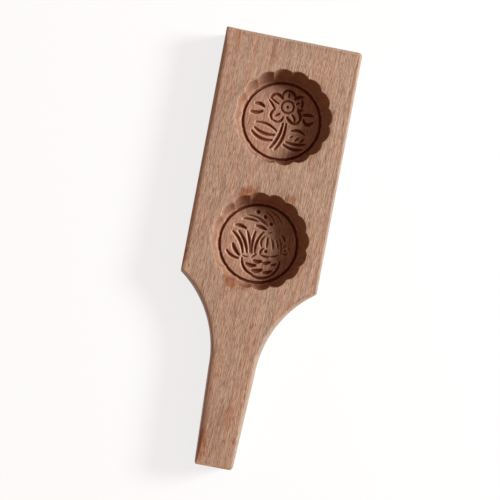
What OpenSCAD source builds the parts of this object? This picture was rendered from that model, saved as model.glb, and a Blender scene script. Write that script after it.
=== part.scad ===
// Wooden mooncake mould: one beech board with a handle, cut from the solid.
// Two fluted round cavities are sunk in its face, and a picture is chip-carved in the floor of each.
// The board lies on its back: +Z is up, out of the cavities, and +Y runs from the handle to the head.

/* [Board] */
// Length of the head, from its far end to the shoulders
head_l = 160; // [152:1:190]
// Width of the head at its far end
head_w = 90; // [84:1:110]
// Width of the head at the shoulders
head_foot_w = 88.5; // [84:0.5:108]
// Thickness of the board
board_t = 26; // [21:0.5:36]

/* [Neck and handle] */
// Length of the curved neck, from the shoulders to the handle
neck_l = 58; // [50:1:66]
// Radius of the neck's hollow curve
neck_r = 71; // [66:1:110]
// Length of the straight handle
handle_l = 62; // [45:1:100]
// Width of the handle at the neck
handle_w = 29.5; // [26:0.5:40]
// Width of the handle at its end
handle_end_w = 24; // [18:0.5:30]

/* [Edges] */
// Radius of the rounded edges, on the face and on the back
edge_r = 1.8; // [0.8:0.1:3]

/* [Cavities] */
// Distance from the head's end to the centre of the first cavity
first_cavity = 51.5; // [42:0.5:54]
// Distance between the centres of the two cavities
cavity_pitch = 82; // [72:0.5:86]
// Distance that both cavities stand off the board's centre line, towards +X
cavity_shift = 2; // [0:0.5:3]
// Depth of a cavity, from the face to its floor
cavity_depth = 17; // [8:0.5:18.5]
// Diameter of the mouth, across the hollows of opposite flutes
mouth_d = 62.8; // [60:0.5:66]
// Diameter of the floor, across the hollows of opposite flutes
floor_d = 55; // [52:0.2:57]
// Number of flutes round the wall, always even
flute_count = 16; // [12:2:20]
// Depth of a flute at the mouth, from its hollow to the ridge beside it
flute_depth = 1.7; // [1:0.1:2.4]

/* [Medallion] */
// Width of the round groove that frames the picture
ring_w = 2.1; // [1:0.1:2.6]
// Depth of that groove
ring_depth = 1.5; // [0.6:0.1:1.8]
// Flat land between the foot of the wall and the groove
ring_land = 0.3; // [0.3:0.1:1.5]
// Slope of the sides of every carved cut, in degrees from the floor
cut_slope = 56; // [46:1:60]
// Depth that a cut keeps at its two ends, as a share of its depth in the middle
cut_end = 0.65; // [0.55:0.05:0.85]

/* [Hidden] */
$fn = 96;

// The grid that the pictures were drawn on: the radius of the groove's inner edge there.
DRAWN_R = 24.6;
// How far a cutting shape stands clear of the surface that it opens.
OVER = 0.6;

total_l = head_l + neck_l + handle_l;
head_y = total_l / 2;
shoulder_y = head_y - head_l;
handle_y = shoulder_y - neck_l;
end_y = -total_l / 2;
floor_z = board_t - cavity_depth;

// A flute's circle at the mouth passes through its hollow and the ridges beside it.
half_flute = 180 / flute_count;
ridge_r = mouth_d / 2 - flute_depth;
flute_q = (pow(mouth_d / 2, 2) - pow(ridge_r, 2)) / (mouth_d - 2 * ridge_r * cos(half_flute));
flute_r = mouth_d / 2 - flute_q;
draft = atan2((mouth_d - floor_d) / 2, cavity_depth);

// The plain cone stays inside the ridges at the mouth, and leaves the flutes a shallow foot on the floor.
core_r = ridge_r - 0.4;
foot_r = floor_d / 2 - 0.35 * flute_depth;
ring_r = foot_r - ring_land - ring_w / 2;
picture_scale = (ring_r - ring_w / 2) / DRAWN_R;

// Centre of the neck's curve on the +X side: the circle of neck_r through the shoulder and the handle's top.
neck_top = [head_foot_w / 2, shoulder_y];
neck_foot = [handle_w / 2, handle_y];
neck_chord = norm(neck_top - neck_foot);
neck_across = [neck_top[1] - neck_foot[1], neck_foot[0] - neck_top[0]] / neck_chord;
neck_c = (neck_top + neck_foot) / 2
    + neck_across * sqrt(pow(neck_r, 2) - pow(neck_chord / 2, 2));
foot_angle = 360 + atan2(neck_foot[1] - neck_c[1], neck_foot[0] - neck_c[0]);
top_angle = atan2(neck_top[1] - neck_c[1], neck_top[0] - neck_c[0]);
sweep_angle = (foot_angle > 300 ? foot_angle - 360 : foot_angle) - top_angle;

// Gives what it is given twice, the second time mirrored to the board's other side.
module both_sides() {
    children();
    mirror([1, 0, 0]) children();
}

// Plan of the board: the head, the two hollow curves of the neck, and the tapering handle.
module board_plan() {
    difference() {
        polygon([
            [head_w / 2, head_y],
            [-head_w / 2, head_y],
            [-head_foot_w / 2, shoulder_y],
            [-handle_w / 2, handle_y],
            [-handle_end_w / 2, end_y],
            [handle_end_w / 2, end_y],
            [handle_w / 2, handle_y],
            [head_foot_w / 2, shoulder_y]
        ]);
        neck_hollow();
        mirror([1, 0]) neck_hollow();
    }
}

// The neck's curve in plan, stopped at the top of the handle.
module neck_hollow() {
    difference() {
        translate(neck_c) circle(neck_r);
        translate([0, end_y - neck_r]) square([neck_c[0] + neck_r, handle_y - end_y + neck_r]);
    }
}

// Waste outside a rounded edge, in section: the edge is at the origin, the wood lies towards +X and -Y.
// The arc runs on a little past both faces, so that it leaves a fine line where it meets each of them.
module edge_waste() {
    ease = 0.4 * edge_r;
    difference() {
        translate([-OVER, -edge_r - ease]) square(edge_r + ease + OVER);
        translate([edge_r + ease, -edge_r - ease]) circle(norm([edge_r + ease, ease]));
    }
}

// The same section at the edge of the face and, turned over, at the edge of the back.
module both_edges() {
    translate([0, board_t]) edge_waste();
    mirror([0, 1]) edge_waste();
}

// Rounds the two long edges along one straight side, from a to b with the wood on the left.
module round_straight(a, b) {
    run = b - a;
    translate([a[0], a[1], 0])
        rotate([0, 0, atan2(run[1], run[0])])
            translate([-OVER, 0, 0])
                rotate([90, 0, 90])
                    linear_extrude(norm(run) + 2 * OVER) both_edges();
}

// Rounds an upright corner, with the wood towards -X and -Y of it.
module round_corner(p) {
    translate([p[0], p[1], -OVER])
        linear_extrude(board_t + 2 * OVER) mirror([1, 0]) edge_waste();
}

// Rounds the edges along the neck's curve, and a little past it at both ends.
module round_neck() {
    translate([neck_c[0], neck_c[1], 0])
        rotate([0, 0, top_angle - 3])
            rotate_extrude(angle = sweep_angle + 6) translate([neck_r, 0]) both_edges();
}

module shaped_board() {
    difference() {
        linear_extrude(board_t) board_plan();
        both_sides() round_neck();
        round_straight([-head_w / 2, head_y], [-head_foot_w / 2, shoulder_y]);
        round_straight([head_foot_w / 2, shoulder_y], [head_w / 2, head_y]);
        round_straight([head_w / 2, head_y], [-head_w / 2, head_y]);
        round_straight([-handle_w / 2, handle_y], [-handle_end_w / 2, end_y]);
        round_straight([handle_end_w / 2, end_y], [handle_w / 2, handle_y]);
        round_straight([-handle_end_w / 2, end_y], [handle_end_w / 2, end_y]);
        both_sides() round_corner([head_w / 2, head_y]);
        both_sides() mirror([0, 1, 0]) round_corner([handle_end_w / 2, -end_y]);
    }
}

// The plain cone of a hollow, wider upwards to draw the cake.
module hollow() {
    rise = (cavity_depth + OVER) / cavity_depth;
    cylinder(h = cavity_depth + OVER, r1 = foot_r, r2 = foot_r + (core_r - foot_r) * rise);
}

// Every second flute of a hollow, first or second set: round gouge passes that lean outwards and stop at the floor.
module flutes(set) {
    intersection() {
        union()
            for (i = [set : 2 : flute_count - 1])
                rotate([0, 0, (2 * i + 1) * half_flute])
                    translate([flute_q, 0, cavity_depth])
                        rotate([0, draft, 0])
                            translate([0, 0, -1.4 * cavity_depth])
                                cylinder(h = 1.7 * cavity_depth + OVER, r = flute_r * cos(draft));
        translate([-mouth_d, -mouth_d, 0]) cube([2 * mouth_d, 2 * mouth_d, cavity_depth + OVER]);
    }
}

module ring_groove() {
    rotate_extrude()
        translate([ring_r, 0])
            polygon([
                [-ring_w / 2, 0],
                [-ring_w / 2, OVER],
                [ring_w / 2, OVER],
                [ring_w / 2, 0],
                [0.15 * ring_w, -ring_depth],
                [-0.15 * ring_w, -ring_depth]
            ]);
}

// One stroke of a parting tool, given by its two ends, how far it bows to the left, and its width.
// The tool's point runs on an arc that leans between the floor and upright, so the cut is deepest halfway.
module cut(x1, y1, x2, y2, bow, width) {
    run = [x2 - x1, y2 - y1];
    depth = width / 2 * tan(cut_slope);
    dip = depth * (1 - cut_end);
    sag = norm([bow, dip]);
    r = (pow(norm(run) / 2, 2) + pow(sag, 2)) / (2 * sag);
    half = asin(norm(run) / 2 / r);
    lean = atan2(dip, bow);
    // The cut opens upwards as far as it can before its section would reach the arc's centre.
    mouth = min(depth + 0.5 * OVER, 0.95 * r / (sin(lean) + abs(cos(lean)) / tan(cut_slope)));
    translate([(x1 + x2) / 2, (y1 + y2) / 2, 0])
        rotate([0, 0, atan2(run[1], run[0])])
            translate([0, bow - r * cos(lean), r * sin(lean) - depth])
                rotate([-lean, 0, 0])
                    rotate([0, 0, 90 - half])
                        rotate_extrude(angle = 2 * half)
                            translate([r, 0])
                                rotate(lean)
                                    polygon([
                                        [0, 0],
                                        [mouth / tan(cut_slope), mouth],
                                        [-mouth / tan(cut_slope), mouth]
                                    ]);
}

// One round pit of a given diameter, with a small flat bottom.
module pit(x, y, d) {
    depth = 0.4 * d * tan(cut_slope);
    translate([x, y, -depth])
        cylinder(h = depth + 0.5 * OVER, r1 = 0.1 * d, r2 = 0.5 * d + 0.5 * OVER / tan(cut_slope));
}

// A groove that closes on itself, as a small round chisel turned in place leaves it.
module round_cut(x, y, r, width) {
    translate([x, y, 0])
        rotate_extrude()
            translate([r, 0])
                polygon([
                    [0, -width / 2 * tan(cut_slope)],
                    [width / 2 + 0.5 * OVER / tan(cut_slope), 0.5 * OVER],
                    [-width / 2 - 0.5 * OVER / tan(cut_slope), 0.5 * OVER]
                ]);
}

// A blossom on its stem, with two leaves and a bud on each side.
module blossom_cuts() {
    // Centre and corona
    pit(1.9, 10.1, 2.3);
    round_cut(2.0, 10.1, 4.0, 1.6);
    // Top petal
    cut(-2.8, 16.6, 0.7, 21.3, 0.9, 2.1);
    cut(0.1, 21.1, 6.1, 17.9, 1.1, 2.7);
    cut(1.5, 19.4, 1.8, 16.3, 0, 1.9);
    // Upper left petal
    cut(-2.0, 14.9, -8.3, 17.1, -1.0, 2.6);
    cut(-6.8, 17.6, -9.9, 14.0, -0.6, 2.3);
    cut(-9.6, 14.2, -4.1, 11.1, -0.3, 1.7);
    cut(-10.9, 12.6, -5.9, 7.0, 0.3, 1.9);
    // Lower left petal
    cut(-6.2, 7.2, -6.6, -0.1, -1.6, 2.2);
    cut(-6.9, 0.2, -1.8, -0.8, -0.4, 1.8);
    cut(-3.3, -1.0, 0.3, 2.9, -0.8, 2.1);
    cut(-5.2, 2.6, -2.4, 4.9, 0, 1.9);
    // Lower right petal
    cut(2.7, 3.4, 8.8, -0.4, -0.8, 2.7);
    cut(7.9, -0.6, 11.6, 3.9, -0.9, 2.1);
    cut(9.1, 8.9, 11.7, 2.7, 0.9, 2.7);
    cut(5.7, 5.5, 8.3, 1.0, 0.7, 2.1);
    // Upper right petal
    cut(5.8, 16.2, 11.4, 18.7, 0.6, 2.7);
    cut(10.7, 16.9, 11.3, 11.4, 0.4, 2.2);
    cut(7.4, 12.8, 9.5, 14.4, 0.2, 1.6);
    // Right petal
    cut(8.6, 10.4, 12.4, 10.3, -1.0, 2.1);
    // Stem
    cut(0.9, -1.2, -4.8, -18.8, 1.4, 2.7);
    cut(3.0, -1.0, -1.4, -19.2, 1.6, 2.6);
    // Left leaf
    cut(-16.6, -3.4, -2.3, -7.0, 1.7, 2.3);
    cut(-17.0, -7.0, -3.2, -9.7, -1.6, 2.7);
    cut(-18.4, -9.6, -4.2, -13.4, -2.1, 2.7);
    // Right leaf
    cut(7.2, -5.0, 16.6, -6.0, 1.4, 2.6);
    cut(6.9, -9.8, 9.0, -8.0, 0, 1.7);
    cut(10.6, -11.2, 13.2, -8.6, 0, 2.1);
    cut(14.2, -11.4, 16.8, -8.8, 0, 2.1);
    cut(5.0, -12.9, 18.0, -12.2, -0.9, 2.6);
    cut(3.6, -15.0, 16.4, -16.2, -1.3, 2.6);
    // Left bud
    cut(-19.2, 8.8, -13.2, 7.6, 0.7, 3.0);
    cut(-21.2, 2.9, -13.8, 4.4, -0.7, 3.0);
    // Right bud
    cut(13.2, 6.8, 20.0, 7.4, 0.4, 2.8);
    cut(13.8, 3.4, 20.2, 3.0, -2.2, 3.0);
}

// A basket of fruit and fanned leaves, with berries above it and a corded handle.
module basket_cuts() {
    // Fan of five
    cut(-18.0, 4.9, -9.3, -7.5, 1.6, 2.6);
    cut(-14.2, 5.9, -6.5, -7.2, 1.2, 2.6);
    cut(-8.7, 6.8, -4.4, -6.9, 0.6, 2.3);
    cut(-3.5, 7.5, -3.3, -6.8, -0.7, 2.3);
    cut(1.7, 8.0, -1.5, -6.4, -1.5, 2.4);
    // Segmented fruit
    cut(3.2, 5.5, 2.2, -1.7, -1.3, 2.0);
    cut(5.2, 5.0, 5.7, -1.6, 0, 2.0);
    cut(7.8, 4.4, 10.0, -2.2, 0.5, 1.8);
    cut(11.0, 4.3, 13.2, -1.7, 0.5, 1.6);
    cut(12.4, 6.2, 15.5, -3.8, 0.9, 1.5);
    // Small leaf and pit over the rim
    cut(3.6, -2.5, 2.0, -6.7, -0.6, 2.0);
    pit(5.6, -4.2, 2.8);
    cut(2.4, -7.0, 8.3, -7.2, -0.5, 1.8);
    cut(9.2, -6.9, 13.9, -4.9, -0.4, 1.7);
    // Rim
    cut(-9.2, -9.5, -5.5, -9.8, -0.2, 1.4);
    cut(-3.1, -9.8, -0.3, -6.9, 0, 1.6);
    // Bowl
    cut(-9.1, -11.0, -0.4, -20.8, -2.2, 2.3);
    cut(-1.0, -21.2, 11.3, -19.4, -1.7, 2.2);
    cut(10.5, -20.0, 15.8, -8.7, -1.7, 2.1);
    // Scales
    cut(-1.2, -11.6, 3.8, -11.1, -0.4, 2.9);
    cut(-5.8, -14.2, 0.4, -14.4, -0.6, 3.0);
    cut(-0.9, -18.0, 5.1, -16.4, -0.5, 3.0);
    cut(5.0, -12.2, 9.6, -10.4, -0.3, 2.5);
    cut(10.4, -12.6, 13.8, -10.8, -0.2, 2.0);
    cut(6.4, -18.1, 11.6, -16.0, -0.4, 2.5);
    // Leaves on the left
    cut(-16.6, -3.0, -11.3, -9.6, -0.5, 3.0);
    cut(-19.8, -7.8, -11.5, -11.8, -1.1, 2.5);
    cut(-17.0, 9.4, -10.0, 8.4, 0.5, 3.0);
    // Long leaf and the blade beside it
    cut(-10.8, 17.3, 3.9, 13.2, 1.3, 1.8);
    cut(-12.7, 14.5, -3.1, 14.2, 0.4, 2.2);
    cut(-2.8, 15.2, 4.0, 12.3, 0.3, 1.6);
    cut(-3.4, 11.4, 3.1, 10.1, 0.2, 2.9);
    // Berries
    pit(-3.9, 20.5, 3.4);
    pit(1.3, 18.1, 3.2);
    pit(5.8, 14.2, 3.0);
    // Corded handle
    cut(0.4, 21.9, 8.8, 13.8, 1.2, 1.4);
    cut(3.3, 23.0, 13.3, 14.4, 1.5, 1.5);
    cut(4.5, 20.8, 5.7, 21.9, 0, 1.1);
    cut(6.1, 19.5, 7.4, 20.8, 0, 1.1);
    cut(7.7, 18.0, 9.1, 19.2, 0, 1.1);
    cut(9.0, 16.3, 10.5, 17.3, 0, 1.1);
    // Sprigs on the right
    cut(4.6, 7.8, 7.4, 9.2, -0.2, 1.5);
    cut(14.2, 8.4, 16.8, 4.2, 0.5, 2.0);
    // Small flower
    pit(17.9, -1.5, 2.0);
    cut(16.6, 0.4, 18.6, 2.0, 0.4, 1.4);
    cut(19.6, 1.4, 20.6, -1.0, 0.4, 1.4);
    cut(20.0, -2.6, 16.6, -3.4, 0.9, 1.6);
}

// Places what it is given on the floor of the first cavity or the second.
module at_first() {
    translate([cavity_shift, head_y - first_cavity, floor_z]) children();
}

module at_second() {
    translate([cavity_shift, head_y - first_cavity - cavity_pitch, floor_z]) children();
}

module hollowed_board() {
    difference() {
        difference() {
            difference() {
                shaped_board();
                at_first() hollow();
                at_second() hollow();
            }
            at_first() flutes(0);
            at_second() flutes(0);
        }
        at_first() flutes(1);
        at_second() flutes(1);
    }
}

module mould_board() {
    color("burlywood")
        difference() {
            hollowed_board();
            at_first() ring_groove();
            at_first() scale(picture_scale) blossom_cuts();
            at_second() ring_groove();
            at_second() scale(picture_scale) basket_cuts();
        }
}

mould_board();
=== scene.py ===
"""A wooden mooncake mould, carved from one beech board and lying on a pale table."""

import math

import bpy
import numpy as np
from mathutils.geometry import delaunay_2d_cdt
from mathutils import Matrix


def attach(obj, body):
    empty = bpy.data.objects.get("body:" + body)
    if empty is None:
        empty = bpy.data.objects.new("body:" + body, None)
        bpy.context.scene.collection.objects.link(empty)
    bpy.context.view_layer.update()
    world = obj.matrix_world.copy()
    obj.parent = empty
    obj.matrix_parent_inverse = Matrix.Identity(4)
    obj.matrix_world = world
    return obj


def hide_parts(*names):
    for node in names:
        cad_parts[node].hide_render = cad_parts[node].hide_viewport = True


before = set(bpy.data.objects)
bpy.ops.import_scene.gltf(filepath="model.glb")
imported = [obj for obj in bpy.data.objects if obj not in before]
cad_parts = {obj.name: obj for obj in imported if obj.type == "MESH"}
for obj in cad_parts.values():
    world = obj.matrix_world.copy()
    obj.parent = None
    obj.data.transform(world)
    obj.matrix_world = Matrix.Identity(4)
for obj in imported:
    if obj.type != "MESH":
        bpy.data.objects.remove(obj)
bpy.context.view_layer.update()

# The blank
# A planed beech board, sawn to a paddle: a head, a neck hollowed on both sides and a tapering
# handle. Its edges are eased with sandpaper, and hands have rubbed some of them further.

# Sizes are in millimetres up to the finished mesh.
MM = 0.001
THICK = 26.0
HEAD_Y, SHOULDER_Y, NECK_Y, END_Y = 140.0, -20.0, -78.0, -140.0
HEAD_W, FOOT_W, NECK_W, END_W = 90.0, 88.5, 29.5, 24.0
NECK_R = 71.0
EASE, RUBBED_EASE = 1.9, 3.0
RIGHT_CORNER_R, LEFT_CORNER_R, SHOULDER_R = 2.6, 0.8, 2.0
NECK_STEPS, CORNER_STEPS = 30, 7
USUAL_RUN = 3.5


def neck_curve():
    """Points of the neck's hollow on the +X side, from the top of the handle to the shoulder."""
    top = np.array([FOOT_W / 2, SHOULDER_Y])
    foot = np.array([NECK_W / 2, NECK_Y])
    chord = np.linalg.norm(top - foot)
    across = np.array([top[1] - foot[1], foot[0] - top[0]]) / chord
    centre = (top + foot) / 2 + across * math.sqrt(NECK_R**2 - (chord / 2) ** 2)
    start = math.atan2(*(foot - centre)[::-1]) % math.tau
    end = math.atan2(*(top - centre)[::-1]) % math.tau
    turns = np.linspace(start, end, NECK_STEPS)
    return [centre + NECK_R * np.array([math.cos(a), math.sin(a)]) for a in turns]


def rounded(before, corner, after, radius):
    """Points of an arc that replaces a sharp corner of the outline."""
    a = (before - corner) / np.linalg.norm(before - corner)
    b = (after - corner) / np.linalg.norm(after - corner)
    half = math.acos(float(np.clip(a @ b, -1, 1))) / 2
    reach = radius / math.tan(half)
    centre = corner + (a + b) / np.linalg.norm(a + b) * radius / math.sin(half)
    first, last = corner + a * reach - centre, corner + b * reach - centre
    turn = math.atan2(first[0] * last[1] - first[1] * last[0], first @ last)
    return [
        centre + first * math.cos(t) + np.array([-first[1], first[0]]) * math.sin(t)
        for t in np.linspace(0, turn, CORNER_STEPS)
    ]


def outline():
    """The blank's plan, counter-clockwise, with each long straight side cut into short runs."""
    neck = neck_curve()
    corners = [
        (np.array([END_W / 2, END_Y]), RIGHT_CORNER_R),
        *((p, 0) for p in neck[:-1]),
        (neck[-1], SHOULDER_R),
        (np.array([HEAD_W / 2, HEAD_Y]), RIGHT_CORNER_R),
    ]
    corners += [(p * (-1, 1), min(r, LEFT_CORNER_R)) for p, r in reversed(corners)]
    points = []
    for i, (p, radius) in enumerate(corners):
        before, after = corners[i - 1][0], corners[(i + 1) % len(corners)][0]
        points += rounded(before, p, after, radius) if radius else [p]
    dense = []
    for i, p in enumerate(points):
        side = points[(i + 1) % len(points)] - p
        runs = max(1, round(float(np.linalg.norm(side)) / USUAL_RUN))
        dense += [p + side * k / runs for k in range(runs)]
    return np.array(dense)


def outward(loop):
    """The outward normal at each point of a counter-clockwise loop."""
    along = np.roll(loop, -1, axis=0) - np.roll(loop, 1, axis=0)
    normal = np.stack([along[:, 1], -along[:, 0]], axis=1)
    return normal / np.linalg.norm(normal, axis=1, keepdims=True)


class Skin:
    """The board's whole surface, gathered ring by ring before it becomes one mesh.

    Each point has five looks, as shares: how much oil has soaked in, together with painted shade;
    how dark a cut is there, which is painted shade; how pale a rim is, which is painted light;
    how far it is worn, together with a painted highlight; and how much grime lies on it, together
    with painted shade.
    """

    def __init__(self):
        self.points, self.faces, self.count = [], [], 0
        self.looks = {"soak": [], "cut": [], "rim": [], "worn": [], "grime": []}

    def add(self, xyz, **looks):
        """Adds points with their looks, a look that isn't given being 0, and returns their numbers."""
        first = self.count
        self.points.append(np.asarray(xyz, float))
        self.count += len(xyz)
        for name, kept in self.looks.items():
            kept.append(np.broadcast_to(np.asarray(looks.get(name, 0.0), float), len(xyz)))
        return np.arange(first, self.count)

    def band(self, lower, upper):
        """Joins two rings of as many points, the lower one outside or below."""
        a, b = np.roll(lower, -1), np.roll(upper, -1)
        self.faces += np.stack([lower, a, b, upper], axis=1).tolist()


def fade(value, start, length):
    """A share that is 0 up to a start and rises to 1 over the length after it."""
    return np.clip((value - start) / length, 0, 1)


skin = Skin()
plan = outline()
normal = outward(plan)
right = plan[:, 0] > 0

# The easing is broader on the right of the neck and the handle, up to the corners of the end.
past_shoulder = fade(SHOULDER_Y - plan[:, 1], 4, 20)
before_end = np.maximum(fade(plan[:, 1] - END_Y, 0, 30), 0.2)
ease = EASE + (RUBBED_EASE - EASE) * past_shoulder * before_end * right

# Inside the easing the face has a margin that carries the edge's painted shade, broad on the left of
# the handle, and then a border where that darkening ends.
handle_left = fade(NECK_Y - plan[:, 1], -8, 15) * ~right
MARGIN, HANDLE_MARGIN = 0.7, 1.8
BORDER, HANDLE_BORDER = 1.4, 3.4
margin = ease + MARGIN + HANDLE_MARGIN * handle_left
border = ease + BORDER + HANDLE_BORDER * handle_left

# All three narrow towards an upright corner, within its radius, so that the rings never cross there.
CORNERS = (
    (-HEAD_W / 2, HEAD_Y, LEFT_CORNER_R),
    (HEAD_W / 2, HEAD_Y, RIGHT_CORNER_R),
    (-FOOT_W / 2, SHOULDER_Y, LEFT_CORNER_R),
    (FOOT_W / 2, SHOULDER_Y, SHOULDER_R),
    (-END_W / 2, END_Y, LEFT_CORNER_R),
    (END_W / 2, END_Y, RIGHT_CORNER_R),
)
for x, y, radius in CORNERS:
    away = np.hypot(plan[:, 0] - x, plan[:, 1] - y)
    ease = np.minimum(ease, 0.7 * radius + 0.1 * away)
    margin = np.minimum(margin, 0.8 * radius + 0.13 * away)
    border = np.minimum(border, 0.85 * radius + 0.15 * away)

# The edges are rubbed pale on the right, where the pale is also a painted highlight on the edges that
# face the lamp, and a little on the left. The left edge of the face is darkened with painted shade and
# some grime, most at the handle's end and along the head, and the head's right edge more faintly.
rubbed_and_lit = np.where(right, 0.8, 0.2)
darkened_y = [END_Y, NECK_Y, NECK_Y + 25, SHOULDER_Y, 0]
darkened_along = np.interp(plan[:, 1], darkened_y, [1.0, 0.5, 0.15, 0.5, 1.0])
held_and_shaded = np.where(right, 0.4 * (1 - past_shoulder), darkened_along) * np.abs(normal[:, 0])
far_end = np.clip(normal[:, 1], 0, 1) ** 4
near_end = np.clip(-normal[:, 1], 0, 1) ** 4


def ring_at(inset, z):
    """The outline moved inwards by an inset and laid at a height, each of which may differ round it."""
    xy = plan - normal * np.reshape(inset, (-1, 1))
    return np.column_stack([xy, np.broadcast_to(z, len(plan))])


# The rings run from the back, round its edge and up the side, to the edge of the face.
EASE_STEPS, SIDE_STEPS = 6, 6
quarter = np.linspace(0, math.pi / 2, EASE_STEPS)
rings = [skin.add(ring_at(margin, 0.0))]
for a in quarter:
    back_edge = ring_at(ease * (1 - math.sin(a)), ease * (1 - math.cos(a)))
    rings.append(skin.add(back_edge, worn=math.sin(2 * a) * rubbed_and_lit))
for z in np.linspace(RUBBED_EASE, THICK - RUBBED_EASE, SIDE_STEPS)[1:-1]:
    rings.append(skin.add(ring_at(0.0, z)))

# Round the edge of the face the wear, with its painted highlight on the right, is strongest halfway.
# A pale rim below it on the left, and halfway round the near end, is painted light on the shaded
# side; above it lie the painted shade and grime of the left edge. The far end is greyer and darker.
for a in quarter:
    rings.append(
        skin.add(
            ring_at(ease * (1 - math.cos(a)), THICK - ease * (1 - math.sin(a))),
            worn=math.sin(2 * a) * (rubbed_and_lit * (1 - near_end) + 0.6 * far_end * ~right),
            rim=0.6 * math.cos(a) ** 2 * ~right * (1 - far_end) + 0.7 * math.sin(2 * a) * near_end,
            grime=math.sin(a) ** 3 * held_and_shaded,
        )
    )
rings.append(skin.add(ring_at(margin, THICK), grime=(0.8 - 0.4 * handle_left) * held_and_shaded + 0.3 * far_end))
rings.append(skin.add(ring_at(border, THICK), grime=0.15 * far_end))
for low, high in zip(rings, rings[1:]):
    skin.band(low, high)
skin.faces.append(rings[0][::-1].tolist())
face_edge = rings[-1]

# The hollows
# Two round hollows, turned and then fluted with a round gouge. Sixteen flutes stand round the
# mouth, lean in as they go down so that the cake drops out, and fade towards the floor.

HOLLOWS = [(2.0, 88.5), (2.0, 6.5)]
DEPTH = 17.0
FLOOR_Z = THICK - DEPTH
MOUTH_R, FOOT_R = 31.4, 27.5
FLUTES, FLUTE_DEEP, FLUTE_FADE = 16, 1.7, 0.62
LIP, FILLET = 0.45, 1.1
RING_R, RING_W, RING_DEEP = 25.55, 2.1, 1.5
PICTURE_R = RING_R - RING_W / 2 - 0.25
ROUND = FLUTES * 18
LIP_STEPS, WALL_STEPS, FILLET_STEPS = 4, 14, 5
angles = np.arange(ROUND) * math.tau / ROUND

# The groove's section, from outside in: place in widths, share of the depth, darkness, which is
# painted shade, and paleness, which is a painted highlight.
RING_SECTION = (
    (0.5, 0.0, 0.0, 0.6),
    (0.42, 0.12, 0.48, 0.0),
    (0.2, 0.85, 1.0, 0.0),
    (0.1, 1.0, 1.0, 0.0),
    (-0.1, 1.0, 1.0, 0.0),
    (-0.2, 0.85, 1.0, 0.0),
    (-0.42, 0.12, 0.48, 0.0),
    (-0.5, 0.0, 0.6, 0.0),
)


def wall_radius(share):
    """Radius round the wall at a share of the way down, where each flute's arc joins two ridges."""
    hollow = MOUTH_R + (FOOT_R - MOUTH_R) * share
    ridge = hollow - FLUTE_DEEP * (1 - FLUTE_FADE * share**1.5)
    half = math.pi / FLUTES
    q = (hollow**2 - ridge**2) / (2 * (hollow - ridge * math.cos(half)))
    r = hollow - q
    off = (angles % (2 * half)) - half
    return q * np.cos(off) + np.sqrt(r**2 - (q * np.sin(off)) ** 2)


def ring_round(centre, radius, z):
    """A ring of points round a hollow's centre, at a height."""
    x = centre[0] + radius * np.cos(angles)
    y = centre[1] + radius * np.sin(angles)
    return np.column_stack([x, y, np.full(ROUND, z)])


def patch(middle, half, sharpness):
    """A share round the wall, 1 at a middle and 0 beyond half a width, both in degrees."""
    return np.clip(1 - ((np.degrees(angles) - middle) / half) ** sharpness, 0, 1)


# The lip is darkened with painted shade on the far side and at the lower right, and carries a painted
# highlight on the left, which faces the lamp.
lip_shade = np.maximum(0.8 * patch(75, 57.3, 4), 0.6 * patch(310, 20.05, 4))
lip_highlight = 0.4 * patch(160, 22.9, 4)

# The walls are darkened and reddened by soaked oil together with painted shade: most on the far and
# near walls, less on the right one and least on the left one, which faces the lamp. Painted shade
# also darkens two patches of the walls.
left_wall = np.clip(1.2 * np.cos(angles - math.radians(190)), 0, 1)
right_wall = np.clip(1.5 * np.cos(angles - math.radians(10)) - 0.5, 0, 1)
wall_soak = 0.85 - 0.55 * left_wall - 0.35 * right_wall
shade_patches = patch(125, 11.46, 2) + patch(298, 20.05, 2)
FLOOR_SOAK = 0.45
WALL_TOP = 0.04


def sink_hollow(centre):
    """Adds one hollow's rings from the lip inwards; returns the lip's ring and the picture's edge ring."""
    made = []
    for a in np.linspace(0, math.pi / 2, LIP_STEPS):
        radius = wall_radius(0.0) + LIP * (1 - math.sin(a))
        ring = ring_round(centre, radius, THICK - LIP * (1 - math.cos(a)))
        looks = {"grime": lip_shade * math.sqrt(math.sin(a)), "rim": lip_highlight * math.sin(2 * a)}
        made.append(skin.add(ring, **looks))
    # Painted shade darkens the upper walls but the left one, and halfway down the left wall is darker.
    for share in np.linspace(WALL_TOP, 1 - FILLET / DEPTH, WALL_STEPS):
        below_lip = min(1, share / 0.1)
        halfway = max(0, 1 - ((share - 0.5) / 0.3) ** 2)
        upper = max(0, 1 - share / 0.5)
        made.append(
            skin.add(
                ring_round(centre, wall_radius(share), THICK - DEPTH * share),
                soak=wall_soak * below_lip + 0.35 * left_wall * halfway,
                grime=0.35 * (1 - left_wall) * upper + 0.35 * shade_patches,
            )
        )
    foot = wall_radius(1 - FILLET / DEPTH)
    for a in np.linspace(0, math.pi / 2, FILLET_STEPS)[1:]:
        ring = ring_round(centre, foot - FILLET * (1 - math.cos(a)), FLOOR_Z + FILLET * (1 - math.sin(a)))
        made.append(skin.add(ring, soak=FLOOR_SOAK + (wall_soak - FLOOR_SOAK) * math.cos(a)))
    for out, deep, dark, pale in RING_SECTION:
        ring = ring_round(centre, RING_R + out * RING_W, FLOOR_Z - RING_DEEP * deep)
        made.append(skin.add(ring, soak=FLOOR_SOAK, cut=dark, rim=pale))
    made.append(skin.add(ring_round(centre, PICTURE_R, FLOOR_Z), soak=FLOOR_SOAK))
    for outer, inner in zip(made, made[1:]):
        skin.band(outer, inner)
    return made[0], made[-1]


# The pictures
# Each floor is carved with a parting tool and small gouges: single strokes, deepest halfway along.
# A stroke is written as its two ends, its bow to the left, and its width, in millimetres.

CUT_SLOPE = math.tan(math.radians(56))
CUT_END = 0.65
BLUNT_END = 1.3
VEE_REACH, VEE_ROUND = 1.06, 0.03
PIT_DEEP = 0.8
FAR_FROM_CUTS = 9.0

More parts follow.
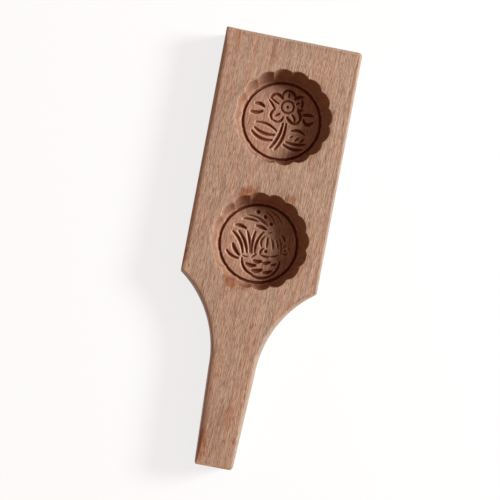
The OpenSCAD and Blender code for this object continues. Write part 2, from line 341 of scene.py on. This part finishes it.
BLOSSOM = [
    # Top petal
    (-2.8, 16.6, 0.7, 21.3, 0.9, 2.1),
    (0.1, 21.1, 6.1, 17.9, 1.1, 2.7),
    (1.5, 19.4, 1.8, 16.3, 0, 1.9),
    # Upper left petal
    (-2.0, 14.9, -8.3, 17.1, -1.0, 2.6),
    (-6.8, 17.6, -9.9, 14.0, -0.6, 2.3),
    (-9.6, 14.2, -4.1, 11.1, -0.3, 1.7),
    (-10.9, 12.6, -5.9, 7.0, 0.3, 1.9),
    # Lower left petal
    (-6.2, 7.2, -6.6, -0.1, -1.6, 2.2),
    (-6.9, 0.2, -1.8, -0.8, -0.4, 1.8),
    (-3.3, -1.0, 0.3, 2.9, -0.8, 2.1),
    (-5.2, 2.6, -2.4, 4.9, 0, 1.9),
    # Lower right petal
    (2.7, 3.4, 8.8, -0.4, -0.8, 2.7),
    (7.9, -0.6, 11.6, 3.9, -0.9, 2.1),
    (9.1, 8.9, 11.7, 2.7, 0.9, 2.7),
    (5.7, 5.5, 8.3, 1.0, 0.7, 2.1),
    # Upper right petal
    (5.8, 16.2, 11.4, 18.7, 0.6, 2.7),
    (10.7, 16.9, 11.3, 11.4, 0.4, 2.2),
    (7.4, 12.8, 9.5, 14.4, 0.2, 1.6),
    # Right petal
    (8.6, 10.4, 12.4, 10.3, -1.0, 2.1),
    # Stem
    (0.9, -1.2, -4.8, -18.8, 1.4, 2.7),
    (3.0, -1.0, -1.4, -19.2, 1.6, 2.6),
    # Left leaf
    (-16.6, -3.4, -2.3, -7.0, 1.7, 2.3),
    (-17.0, -7.0, -3.2, -9.7, -1.6, 2.7),
    (-18.4, -9.6, -4.2, -13.4, -2.1, 2.7),
    # Right leaf
    (7.2, -5.0, 16.6, -6.0, 1.4, 2.6),
    (6.9, -9.8, 9.0, -8.0, 0, 1.7),
    (10.6, -11.2, 13.2, -8.6, 0, 2.1),
    (14.2, -11.4, 16.8, -8.8, 0, 2.1),
    (5.0, -12.9, 18.0, -12.2, -0.9, 2.6),
    (3.6, -15.0, 16.4, -16.2, -1.3, 2.6),
    # Left bud
    (-19.2, 8.8, -13.2, 7.6, 0.7, 3.0),
    (-21.2, 2.9, -13.8, 4.4, -0.7, 3.0),
    # Right bud
    (13.2, 6.8, 20.0, 7.4, 0.4, 2.8),
    (13.8, 3.4, 20.2, 3.0, -2.2, 3.0),
]
# A pit is written as its middle and its width, and a round cut as its middle, radius and width.
BLOSSOM_PITS = [(1.9, 10.1, 2.3)]
BLOSSOM_ROUNDS = [(2.0, 10.1, 4.0, 1.6)]

BASKET = [
    # Fan of five
    (-18.0, 4.9, -9.3, -7.5, 1.6, 2.6),
    (-14.2, 5.9, -6.5, -7.2, 1.2, 2.6),
    (-8.7, 6.8, -4.4, -6.9, 0.6, 2.3),
    (-3.5, 7.5, -3.3, -6.8, -0.7, 2.3),
    (1.7, 8.0, -1.5, -6.4, -1.5, 2.4),
    # Segmented fruit
    (3.2, 5.5, 2.2, -1.7, -1.3, 2.0),
    (5.2, 5.0, 5.7, -1.6, 0, 2.0),
    (7.8, 4.4, 10.0, -2.2, 0.5, 1.8),
    (11.0, 4.3, 13.2, -1.7, 0.5, 1.6),
    (12.4, 6.2, 15.5, -3.8, 0.9, 1.5),
    # Small leaf over the rim
    (3.6, -2.5, 2.0, -6.7, -0.6, 2.0),
    (2.4, -7.0, 8.3, -7.2, -0.5, 1.8),
    (9.2, -6.9, 13.9, -4.9, -0.4, 1.7),
    # Rim
    (-9.2, -9.5, -5.5, -9.8, -0.2, 1.4),
    (-3.1, -9.8, -0.3, -6.9, 0, 1.6),
    # Bowl
    (-9.1, -11.0, -0.4, -20.8, -2.2, 2.3),
    (-1.0, -21.2, 11.3, -19.4, -1.7, 2.2),
    (10.5, -20.0, 15.8, -8.7, -1.7, 2.1),
    # Scales
    (-1.2, -11.6, 3.8, -11.1, -0.4, 2.9),
    (-5.8, -14.2, 0.4, -14.4, -0.6, 3.0),
    (-0.9, -18.0, 5.1, -16.4, -0.5, 3.0),
    (5.0, -12.2, 9.6, -10.4, -0.3, 2.5),
    (10.4, -12.6, 13.8, -10.8, -0.2, 2.0),
    (6.4, -18.1, 11.6, -16.0, -0.4, 2.5),
    # Leaves on the left
    (-16.6, -3.0, -11.3, -9.6, -0.5, 3.0),
    (-19.8, -7.8, -11.5, -11.8, -1.1, 2.5),
    (-17.0, 9.4, -10.0, 8.4, 0.5, 3.0),
    # Long leaf and the blade beside it
    (-10.8, 17.3, 3.9, 13.2, 1.3, 1.8),
    (-12.7, 14.5, -3.1, 14.2, 0.4, 2.2),
    (-2.8, 15.2, 4.0, 12.3, 0.3, 1.6),
    (-3.4, 11.4, 3.1, 10.1, 0.2, 2.9),
    # Corded handle
    (0.4, 21.9, 8.8, 13.8, 1.2, 1.4),
    (3.3, 23.0, 13.3, 14.4, 1.5, 1.5),
    (4.5, 20.8, 5.7, 21.9, 0, 1.1),
    (6.1, 19.5, 7.4, 20.8, 0, 1.1),
    (7.7, 18.0, 9.1, 19.2, 0, 1.1),
    (9.0, 16.3, 10.5, 17.3, 0, 1.1),
    # Sprigs on the right
    (4.6, 7.8, 7.4, 9.2, -0.2, 1.5),
    (14.2, 8.4, 16.8, 4.2, 0.5, 2.0),
    # Small flower
    (16.6, 0.4, 18.6, 2.0, 0.4, 1.4),
    (19.6, 1.4, 20.6, -1.0, 0.4, 1.4),
    (20.0, -2.6, 16.6, -3.4, 0.9, 1.6),
]
BASKET_PITS = [
    (5.6, -4.2, 2.8),
    (-3.9, 20.5, 3.4),
    (1.3, 18.1, 3.2),
    (5.8, 14.2, 3.0),
    (17.9, -1.5, 2.0),
]


def stroke_reach(xy, stroke):
    """Each point's distance from a stroke's line, and half the stroke's width beside it."""
    x1, y1, x2, y2, bow, width = stroke
    a, b = np.array([x1, y1]), np.array([x2, y2])
    chord = float(np.linalg.norm(b - a))
    along = (b - a) / chord
    left = np.array([-along[1], along[0]])
    from_middle = xy - (a + b) / 2
    u, v = from_middle @ along, from_middle @ left
    share = np.clip(u / (chord / 2), -1, 1)
    line = bow * (1 - share**2)
    lean = np.arctan2(-2 * bow * share, chord / 2)
    away = (v - line) * np.cos(lean)
    past = np.maximum(np.abs(u) - chord / 2, 0)
    half = width / 2 * (1 - (1 - CUT_END) * share**2)
    return np.hypot(away, BLUNT_END * past), half


def vee(away, half):
    """Depth of a V-shaped cut at a distance from its line, a little rounded at the bottom."""
    return np.clip(VEE_REACH - np.sqrt((away / half) ** 2 + VEE_ROUND), 0, None) * half * CUT_SLOPE


def picture_depth(xy, strokes, pits, round_cuts):
    """Depth of the carving at each point, the deepest cut winning, and how far the nearest edge is."""
    depth = np.zeros(len(xy))
    near = np.full(len(xy), FAR_FROM_CUTS)
    for stroke in strokes:
        away, half = stroke_reach(xy, stroke)
        depth = np.maximum(depth, vee(away, half))
        near = np.minimum(near, away - half)
    for x, y, radius, width in round_cuts:
        away = np.abs(np.hypot(xy[:, 0] - x, xy[:, 1] - y) - radius)
        depth = np.maximum(depth, vee(away, width / 2))
        near = np.minimum(near, away - width / 2)
    for x, y, width in pits:
        away = np.hypot(xy[:, 0] - x, xy[:, 1] - y)
        depth = np.maximum(depth, np.clip(1 - 2 * away / width, 0, PIT_DEEP) * width / 2 * CUT_SLOPE)
        near = np.minimum(near, away - width / 2)
    return depth, near


# Fine points fill a floor in and beside the cuts, and coarse ones fill it between them.
FINE_STEP, FINE_REACH = 0.24, 0.35
COARSE_STEP, COARSE_CLEAR = 0.8, 0.5
ROW, EDGE_GAP = 0.866, 0.6
# The picture's edge stays flat over a short width, and a cut has a painted highlight along its rim,
# of a short width too.
EDGE_FADE = 0.3
RIM_MIDDLE, RIM_HALF = 0.1, 0.4
STEP_RIGHT = (0.3, 0.1)


def grid_in(radius, step):
    """Points of a triangular grid inside a circle."""
    points = []
    for k, y in enumerate(np.arange(-radius, radius, step * ROW)):
        xs = np.arange(-radius, radius, step) + (k % 2) * step / 2
        points.append(np.column_stack([xs, np.full(len(xs), y)]))
    points = np.concatenate(points)
    return points[np.hypot(*points.T) < radius - EDGE_GAP * step]


def triangulate(loops, inside):
    """Triangles between closed loops, through the points inside.

    Returns the points in plan, the triangles, and the number that each point has along the loops,
    or -1 where it lies on none of them.
    """
    edges, start = [], 0
    for loop in loops:
        n = len(loop)
        edges += [(start + i, start + (i + 1) % n) for i in range(n)]
        start += n
    flat = [tuple(p) for p in np.concatenate([*loops, inside])]
    points, _, faces, origin, _, _ = delaunay_2d_cdt(flat, edges, [], 1, 1e-6)
    on_loop = [o[0] if len(o) and o[0] < start else -1 for o in origin]
    return np.array([tuple(p) for p in points]), np.array(faces), np.array(on_loop)


def carve(centre, edge_ring, shade_spot, *cuts):
    """Carves a picture in a floor, inside the ring at its edge.

    Round the shaded spot, given by its middle and its radius, painted shade darkens the cuts and the
    ground beside them and dims their highlights.
    """
    fine = grid_in(PICTURE_R, FINE_STEP)
    fine = fine[picture_depth(fine, *cuts)[1] < FINE_REACH]
    coarse = grid_in(PICTURE_R, COARSE_STEP)
    coarse = coarse[picture_depth(coarse, *cuts)[1] > COARSE_CLEAR]
    edge = np.column_stack([PICTURE_R * np.cos(angles), PICTURE_R * np.sin(angles)])
    xy, faces, on_edge = triangulate([edge], np.concatenate([fine, coarse]))
    depth, near = picture_depth(xy, *cuts)
    depth *= fade(PICTURE_R - np.hypot(*xy.T), 0, EDGE_FADE)

    # A cut's rim has a painted highlight, most on its left, which faces the lamp, and the cut has painted
    # shade where it is deep. Painted shade also darkens the ground round a round cut.
    spot_x, spot_y, spot_r = shade_spot
    spot_shade = np.clip(1.6 - np.hypot(xy[:, 0] - spot_x, xy[:, 1] - spot_y) / spot_r, 0, 1)
    nearer = near - picture_depth(xy + STEP_RIGHT, *cuts)[1]
    left_of_cut = fade(nearer, 0, STEP_RIGHT[0])
    pale = np.clip(1 - np.abs(near - RIM_MIDDLE) / RIM_HALF, 0, 1)
    pale *= (0.2 + 0.65 * left_of_cut) * (1 - 0.6 * spot_shade)
    dark = depth / (1.5 - 0.8 * spot_shade)
    for x, y, radius, _ in cuts[2]:
        away = np.abs(np.hypot(xy[:, 0] - x, xy[:, 1] - y) - radius)
        dark = np.maximum(dark, 0.45 * np.clip(1.6 - away / 0.8, 0, 1))
    oiled_and_shaded = FLOOR_SOAK + 0.4 * spot_shade * np.clip(1 - near / 1.2, 0, 1)

    new = on_edge < 0
    number = edge_ring[on_edge]
    number[new] = skin.add(
        np.column_stack([xy + centre, FLOOR_Z - depth])[new],
        soak=oiled_and_shaded[new],
        cut=np.clip(dark[new], 0, 1),
        rim=pale[new],
    )
    skin.faces += number[faces].tolist()


lips = []
for centre, shade_spot, cuts in (
    (HOLLOWS[0], (2.0, 10.0, 11.0), (BLOSSOM, BLOSSOM_PITS, BLOSSOM_ROUNDS)),
    (HOLLOWS[1], (3.5, -14.5, 9.0), (BASKET, BASKET_PITS, [])),
):
    lip, picture_edge = sink_hollow(centre)
    carve(centre, picture_edge, shade_spot, *cuts)
    lips.append(lip)

# The face
# Between the blank's edge and the two lips the face is one flat surface, planed and sanded. It is
# filled with small triangles, so that its shading stays even from edge to edge.

FACE_STEP = 3.0
BORDER_CLEAR, LIP_CLEAR = 1.6, 1.2


def in_loop(points, loop):
    """Which points lie inside a closed loop."""
    inside = np.zeros(len(points), bool)
    for (xi, yi), (xj, yj) in zip(loop, np.roll(loop, 1, axis=0)):
        crossed = (yi > points[:, 1]) != (yj > points[:, 1])
        crossing_x = (xj - xi) * (points[:, 1] - yi) / (yj - yi + 1e-12) + xi
        inside ^= crossed & (points[:, 0] < crossing_x)
    return inside


across = np.arange(2 - HEAD_W / 2, HEAD_W / 2 - 1, FACE_STEP)
along = np.arange(3 - HEAD_Y, HEAD_Y - 2, FACE_STEP)
grid = np.stack(np.meshgrid(across, along), axis=-1).reshape(-1, 2)
keep = in_loop(grid, plan - normal * np.reshape(border + BORDER_CLEAR, (-1, 1)))
for centre in HOLLOWS:
    keep &= np.hypot(*(grid - centre).T) > MOUTH_R + LIP + LIP_CLEAR

known = np.concatenate(skin.points)
loops = [known[ring][:, :2] for ring in (face_edge, *lips)]
xy, faces, on_loop = triangulate(loops, grid[keep])
new = on_loop < 0
number = np.concatenate([face_edge, *lips])[on_loop]
number[new] = skin.add(np.column_stack([xy, np.full(len(xy), THICK)])[new])
middles = xy[faces].mean(axis=1)
over_hollow = in_loop(middles, loops[1]) | in_loop(middles, loops[2])
skin.faces += number[faces[~over_hollow]].tolist()

mesh = bpy.data.meshes.new("mould_skin")
mesh.from_pydata((np.concatenate(skin.points) * MM).tolist(), [], skin.faces)
mesh.update()
for name, values in skin.looks.items():
    layer = mesh.attributes.new(name, "FLOAT", "POINT")
    layer.data.foreach_set("value", np.concatenate(values).astype(np.float32))
mesh.shade_smooth()
board = bpy.data.objects.new("mould_skin", mesh)
bpy.context.collection.objects.link(board)

# The wood
# Beech, fine-sanded and rubbed with oil: pinkish tan, close-grained, with short dark flecks.
# It is dull, with a faint sheen along the fibres, and darker where oil and use have got into it.
# Shade and highlights are also painted into its colour.


def linear(colour):
    """An sRGB hex colour as the linear RGBA that the shaders take."""
    parts = [int(colour[i : i + 2], 16) / 255 for i in (1, 3, 5)]
    return [c / 12.92 if c <= 0.04045 else ((c + 0.055) / 1.055) ** 2.4 for c in parts] + [1.0]


def node(kind, inputs=None, out=0, **settings):
    """Adds a node with its settings and links, and returns one of its outputs.

    Inputs go by name or number. A MapRange takes the value as 0, its range as 1 and 2 and the new
    range as 3 and 4. A Mix of colours takes its share as 0 and the colours as 6 and 7.
    """
    made = tree.nodes.new("ShaderNode" + kind)
    for key, value in settings.items():
        setattr(made, key, value)
    for key, value in (inputs or {}).items():
        if isinstance(value, bpy.types.NodeSocket):
            tree.links.new(value, made.inputs[key])
        else:
            made.inputs[key].default_value = value
    return made.outputs[out]


SMOOTH = {"interpolation_type": "SMOOTHSTEP"}
beech = bpy.data.materials.new("oiled_beech")
beech.use_nodes = True
tree = beech.node_tree
shader = tree.nodes["Principled BSDF"]

# Where a point lies in the trunk: how far from the pith, up the trunk, and round it, in millimetres.
# The board was sawn flat, with the pith below its back and to the left, and the grain wanders a little.
PITH_X, PITH_Z, PITH_LEAN = -34.0, -110.0, -0.03
FACE_RADIUS = 140.0
SWAY, SWAY_CELL = (5.0, 0.0, 5.0), (45, 120, 45)
place = node("VectorMath", {0: node("TexCoord", out="Object"), "Scale": 1 / MM}, operation="SCALE")
sway = node("VectorMath", {0: place, 1: SWAY_CELL}, operation="DIVIDE")
sway = node("TexNoise", {"Vector": sway, "Scale": 1.0, "Detail": 1.0}, out="Color")
sway = node("VectorMath", {0: sway, 1: (0.5, 0.5, 0.5)}, operation="SUBTRACT")
bent = node("VectorMath", {0: sway, 1: SWAY, 2: place}, operation="MULTIPLY_ADD")
bent_x, bent_y, bent_z = (node("SeparateXYZ", {0: bent}, out=axis) for axis in "XYZ")
from_x = node("Math", {0: bent_y, 1: PITH_LEAN, 2: bent_x}, operation="MULTIPLY_ADD")
from_x = node("Math", {0: from_x, 1: PITH_X}, operation="SUBTRACT")
from_z = node("Math", {0: bent_z, 1: PITH_Z}, operation="SUBTRACT")
flat_way = node("CombineXYZ", {0: from_x, 2: from_z})
outwards = node("VectorMath", {0: flat_way}, out="Value", operation="LENGTH")
turned = node("Math", {0: from_x, 1: from_z}, operation="ARCTAN2")
around = node("Math", {0: turned, 1: FACE_RADIUS}, operation="MULTIPLY")
trunk = node("CombineXYZ", {0: outwards, 1: bent_y, 2: around})

# Each pattern's usual cell in the trunk, outwards, upwards and round it in millimetres, and its detail.
PATTERNS = {
    # How the growth rings wander
    "wander": ((10, 90, 30), 1.0),
    # Long streaks, some pinker and some greyer
    "pink": ((5, 90, 5), 1.0),
    "grey": ((2.4, 60, 2.4), 1.0),
    # Fibres, drawn coarser than real ones, which would be lost in the view
    "fibre": ((0.22, 26, 0.22), 0.0),
    # The rays of beech: thin dark lines 3 mm long on the face, and broad flakes on the sides
    "ray": ((2.2, 3.0, 0.24), 0.0),
    # Open pores, as fine dark lines, also drawn coarser than real ones
    "pore": ((0.24, 5.0, 0.24), 0.0),
}
noise = {}
for name, (cell, detail) in PATTERNS.items():
    scaled = node("VectorMath", {0: trunk, 1: cell}, operation="DIVIDE")
    noise[name] = node("TexNoise", {"Vector": scaled, "Scale": 1.0, "Detail": detail})
fibre = noise["fibre"]
pink = node("MapRange", {0: noise["pink"], 1: 0.38, 2: 0.64}, **SMOOTH)
grey = node("MapRange", {0: noise["grey"], 1: 0.5, 2: 0.72, 4: 0.35}, **SMOOTH)
dark_fibre = node("MapRange", {0: fibre, 1: 0.5, 2: 0.3, 4: 0.53}, **SMOOTH)
pale_fibre = node("MapRange", {0: fibre, 1: 0.5, 2: 0.7, 4: 0.6}, **SMOOTH)
ray = node("MapRange", {0: noise["ray"], 1: 0.57, 2: 0.64}, **SMOOTH)
pore = node("MapRange", {0: noise["pore"], 1: 0.58, 2: 0.66}, **SMOOTH)

# Growth rings 2.8 mm apart, each a little darker towards its outside.
RING_PITCH, RING_WANDER = 2.8, 2.4
ring = node("Math", {0: outwards, 1: RING_PITCH}, operation="DIVIDE")
ring = node("Math", {0: noise["wander"], 1: RING_WANDER, 2: ring}, operation="MULTIPLY_ADD")
ring = node("Math", {0: ring}, operation="FRACT")
late_wood = node("MapRange", {0: ring, 1: 0.4, 2: 0.97, 4: 0.12}, **SMOOTH)

# The walls are darker with oil and painted shade, and the floors a little, and painted shade darkens
# the bottoms of the cuts. Grime and painted shade lie heavier on the grey streaks, and wear and its
# painted highlight show on the paler fibres.
soak = node("Attribute", out="Fac", attribute_name="soak")
rim = node("Attribute", out="Fac", attribute_name="rim")
cut = node("Attribute", out="Fac", attribute_name="cut")
cut = node("MapRange", {0: cut, 1: 0.05, 2: 0.7, 4: 0.95}, **SMOOTH)
grime = node("Attribute", out="Fac", attribute_name="grime")
streaked = node("MapRange", {0: grey, 2: 0.35, 3: 0.7, 4: 0.95})
grime = node("Math", {0: grime, 1: streaked}, operation="MULTIPLY")
worn = node("Attribute", out="Fac", attribute_name="worn")
fibrous = node("MapRange", {0: fibre, 1: 0.3, 2: 0.7, 3: 0.3, 4: 0.75})
worn = node("Math", {0: worn, 1: fibrous}, operation="MULTIPLY")

wood = linear("#A68E79")
for share, colour, way in (
    (pink, "#B18F76", "MIX"),
    (grey, "#97806D", "MIX"),
    (late_wood, "#916A50", "MIX"),
    (dark_fibre, "#7E5D48", "MIX"),
    (pale_fibre, "#D0B299", "MIX"),
    (node("Math", {0: ray, 1: 0.42}, operation="MULTIPLY"), "#74462F", "MIX"),
    (node("Math", {0: pore, 1: 0.75}, operation="MULTIPLY"), "#6F4630", "MIX"),
    # From here on the colours also paint light: shade with the grime, soak and cut colours, and highlights
    # with the rim and wear colours.
    (grime, "#6A422E", "MIX"),
    (soak, "#E8C2B4", "MULTIPLY"),
    (cut, "#B27040", "MULTIPLY"),
    (rim, "#D2AF92", "MIX"),
    (worn, "#A39B8D", "MIX"),
):
    wood = node("Mix", {0: share, 6: wood, 7: linear(colour)}, out=2, data_type="RGBA", blend_type=way)

# Food colour has crept out of the second mouth, and use has marked the head's far end, its left
# side, the shoulder and the handle. A stain is its middle, half its width and length, and strength.
STAINS = [
    (-14.5, 34.6, 4.5, 4.5, 1.0),
    (-9.5, 37.2, 5.5, 5.0, 1.0),
    (-5.5, 38.8, 3.5, 3.5, 0.8),
    (16.5, 36.2, 4.8, 4.5, 0.8),
    (-13.5, -19.8, 4.5, 4.0, 1.0),
    (-9.5, -22.8, 6.5, 5.0, 1.0),
    (-3.5, -24.2, 4.5, 3.5, 0.7),
    (1.2, -108.5, 7.5, 11.0, 0.5),
    (0.0, -126.0, 18.0, 44.0, 0.1),
    (-36.8, 134.0, 1.8, 9.0, 0.6),
    (-23.5, 132.0, 1.5, 11.0, 0.5),
    (-12.2, 128.0, 2.5, 10.0, 0.5),
    (-33.7, 98.0, 2.0, 7.0, 0.4),
    (-43.5, -14.5, 3.0, 9.0, 0.8),
    (-11.0, -126.0, 4.5, 13.0, 0.8),
]
STAIN_DEEP = 6.0
BLOT_CELL = (2.5, 5.0, 2.5)
blot = node("VectorMath", {0: place, 1: BLOT_CELL}, operation="DIVIDE")
blot = node("TexNoise", {"Vector": blot, "Scale": 1.0, "Detail": 2.0})
blot = node("MapRange", {0: blot, 1: 0.3, 2: 0.7, 3: -0.35, 4: 0.35})
stain = None
for x, y, half_width, half_length, strength in STAINS:
    away = node("VectorMath", {0: place, 1: (x, y, THICK)}, operation="SUBTRACT")
    away = node("VectorMath", {0: away, 1: (half_width, half_length, STAIN_DEEP)}, operation="DIVIDE")
    away = node("VectorMath", {0: away}, out="Value", operation="LENGTH")
    away = node("Math", {0: away, 1: blot}, operation="ADD")
    spot = node("MapRange", {0: away, 1: 1.1, 2: 0.3, 4: strength}, **SMOOTH)
    stain = node("Math", {0: stain, 1: spot}, operation="MAXIMUM") if stain else spot
stained = {0: stain, 6: wood, 7: linear("#DBAF90")}
wood = node("Mix", stained, out=2, data_type="RGBA", blend_type="MULTIPLY")
tree.links.new(wood, shader.inputs["Base Color"])

# Between the fibres the wood is a little rougher, and the pores and rays are fine dips.
rough = node("MapRange", {0: fibre, 1: 0.2, 2: 0.8, 3: 0.52, 4: 0.64})
tree.links.new(rough, shader.inputs["Roughness"])
open_grain = node("Math", {0: pore, 1: ray}, operation="MAXIMUM")
relief = node("Math", {0: open_grain, 1: -0.5, 2: fibre}, operation="MULTIPLY_ADD")
bump = node("Bump", {"Strength": 0.4, "Distance": 0.1 * MM, "Height": relief})
tree.links.new(bump, shader.inputs["Normal"])
board.data.materials.append(beech)

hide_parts("mould_board")
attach(board, "root")

# The table, the light and the camera
# A plain white table in a pale room, a soft lamp low on the right, and a long lens from above the
# handle. What the camera sees of the table glows a little, so that it is white and keeps the shadow.

TABLE_HALF, TABLE_DROP = 2.0, 0.0002
corners = [(x * TABLE_HALF, y * TABLE_HALF, 0) for x, y in ((-1, -1), (1, -1), (1, 1), (-1, 1))]
table = bpy.data.objects.new("table", bpy.data.meshes.new("table"))
table.data.from_pydata(corners, [], [(0, 1, 2, 3)])
table.location.z = -TABLE_DROP
bpy.context.collection.objects.link(table)
white = bpy.data.materials.new("white_table")
white.use_nodes = True
tree = white.node_tree
matt = tree.nodes["Principled BSDF"]
matt.inputs["Base Color"].default_value = linear("#F4F4F4")
matt.inputs["Roughness"].default_value = 0.9
camera_ray = node("LightPath", out="Is Camera Ray")
glossy_ray = node("LightPath", out="Is Glossy Ray")
seen = node("Math", {0: camera_ray, 1: glossy_ray}, operation="MAXIMUM")
glowing = node("Math", {0: seen, 1: 0.8}, operation="MULTIPLY")
glow = node("Emission", {"Color": linear("#FFFFFF"), "Strength": 1.0})
shown = node("MixShader", {0: glowing, 1: matt.outputs[0], 2: glow})
tree.links.new(shown, tree.nodes["Material Output"].inputs["Surface"])
table.data.materials.append(white)

LAMP_TOWARD, LAMP_RISE, LAMP_AWAY = math.radians(19.5), math.radians(34.5), 2.2
lamp = bpy.data.lights.new("window", "AREA")
lamp.shape = "DISK"
lamp.size = 0.75
lamp.energy = 73.5
lamp_object = bpy.data.objects.new("window", lamp)
bpy.context.collection.objects.link(lamp_object)
lamp_object.location = (
    LAMP_AWAY * math.cos(LAMP_RISE) * math.cos(LAMP_TOWARD),
    LAMP_AWAY * math.cos(LAMP_RISE) * math.sin(LAMP_TOWARD),
    LAMP_AWAY * math.sin(LAMP_RISE),
)
lamp_object.rotation_euler = (-lamp_object.location).to_track_quat("-Z", "Y").to_euler()

world = bpy.data.worlds.new("room")
world.use_nodes = True
tree = world.node_tree
room = tree.nodes["Background"]
room.inputs["Color"].default_value = linear("#FFC9AD")
room.inputs["Strength"].default_value = 0.31
backdrop = node("Background", {"Color": linear("#FFFFFF"), "Strength": 1.0})
camera_ray = node("LightPath", out="Is Camera Ray")
shown = node("MixShader", {0: camera_ray, 1: room.outputs[0], 2: backdrop})
tree.links.new(shown, tree.nodes["World Output"].inputs["Surface"])
bpy.context.scene.world = world
bpy.context.scene.view_settings.view_transform = "Standard"

camera = bpy.data.cameras.new("camera")
camera.lens = 112.56
camera.sensor_width = 36
camera.clip_start, camera.clip_end = 0.05, 10
camera_object = bpy.data.objects.new("camera", camera)
camera_object.location = (-0.0372, -0.0903, 1.0222)
camera_object.rotation_euler = [math.radians(a) for a in (4.71, -2.887, 10.771)]
bpy.context.collection.objects.link(camera_object)
bpy.context.scene.camera = camera_object
